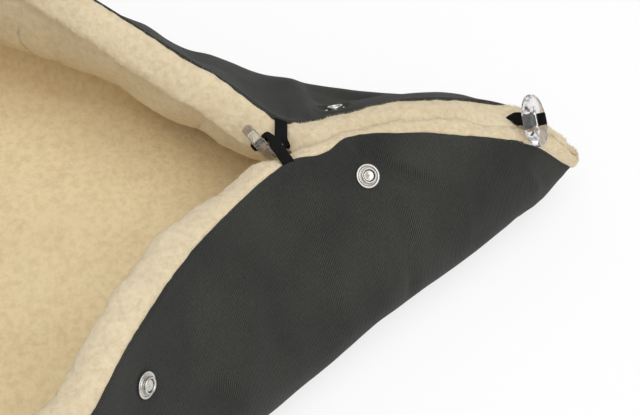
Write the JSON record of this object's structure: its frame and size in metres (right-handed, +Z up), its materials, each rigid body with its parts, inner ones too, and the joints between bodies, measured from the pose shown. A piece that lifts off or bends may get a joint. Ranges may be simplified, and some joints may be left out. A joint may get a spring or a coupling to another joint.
{
  "type": "stroller footmuff",
  "caption": "Quilted bag lying on its back, wool-pile lined, head end drawn in to a pointed hood by elastics with clear stoppers; zipped front with fold-down flap.",
  "frame": {"origin": "on the ground, under the middle of the bag's length and width", "axes": "+Y towards the head end, +X towards the child's left arm, +Z up"},
  "size_m": [0.4214, 0.9971, 0.132],
  "materials": {
    "clear_plastic": "clear moulded plastic",
    "nickel": "bright nickel plate",
    "twill": "matt anthracite twill",
    "webbing": "black woven elastic and tape",
    "wool_pile": "thick cream wool pile",
    "zip_coil": "black nylon coil"
  },
  "bodies": {
    "bag": {"back_lining": "wool_pile", "back_panel": "twill", "crotch_slot_binding": "twill", "crown_elastic": "webbing", "foot_piping": "twill", "front_lining": "wool_pile", "front_shell": "twill", "shoulder_slot_binding_left": "twill", "shoulder_slot_binding_right": "twill", "side_shell": "twill", "snap_eyelet_left_face": "nickel", "snap_eyelet_left_head": "nickel", "snap_eyelet_right_face": "nickel", "snap_eyelet_right_head": "nickel", "snap_stud_left_face": "nickel", "snap_stud_left_head": "nickel", "snap_stud_right_face": "nickel", "snap_stud_right_head": "nickel", "throat_elastic": "webbing", "zip_stop_left": "nickel", "zip_stop_right": "nickel", "zip_tape_back_left": "webbing", "zip_tape_back_right": "webbing", "zip_tape_front_left": "webbing", "zip_tape_front_right": "webbing", "zip_teeth_back_left": "zip_coil", "zip_teeth_back_right": "zip_coil", "zip_teeth_front_left": "zip_coil", "zip_teeth_front_right": "zip_coil"},
    "flap": {"flap_lining": "wool_pile", "flap_shell": "twill", "zip_tape_flap_left": "webbing", "zip_tape_flap_right": "webbing", "zip_teeth_flap_left": "zip_coil", "zip_teeth_flap_right": "zip_coil"},
    "slider_left": {"zip_slider_left": "nickel"},
    "pull_left": {"zip_pull_left": "nickel"},
    "slider_right": {"zip_slider_right": "nickel"},
    "pull_right": {"zip_pull_right": "nickel"},
    "throat_stopper": {"throat_stopper": "clear_plastic"},
    "crown_stopper": {"crown_stopper": "clear_plastic"}
  },
  "joints": [
    {"name": "flap_fold", "type": "hinge", "parent": "bag", "child": "flap", "pos_m": [0, -0.05, 0.1303], "axis": [1, 0, 0], "range_deg": [0, 165]},
    {"name": "zip_travel_left", "type": "slide", "parent": "bag", "child": "slider_left", "axis": [-0.0314, -0.9995, 0], "range_m": [0, 0.434]},
    {"name": "pull_swing_left", "type": "hinge", "parent": "slider_left", "child": "pull_left", "pos_m": [0.20524, 0.08837, 0.068], "axis": [0, 0, 1], "range_deg": [0, 150]},
    {"name": "zip_travel_right", "type": "slide", "parent": "bag", "child": "slider_right", "axis": [0.0314, -0.9995, 0], "range_m": [0, 0.434]},
    {"name": "pull_swing_right", "type": "hinge", "parent": "slider_right", "child": "pull_right", "pos_m": [-0.20524, 0.08837, 0.068], "axis": [0, 0, -1], "range_deg": [0, 150]},
    {"name": "throat_stopper_grip", "type": "slide", "parent": "bag", "child": "throat_stopper", "axis": [0.286, -0.846, -0.45], "range_m": [-0.001, 0.001]},
    {"name": "crown_stopper_grip", "type": "slide", "parent": "bag", "child": "crown_stopper", "axis": [0.4434, 0.7326, 0.5164], "range_m": [-0.002, 0.001]}
  ]
}
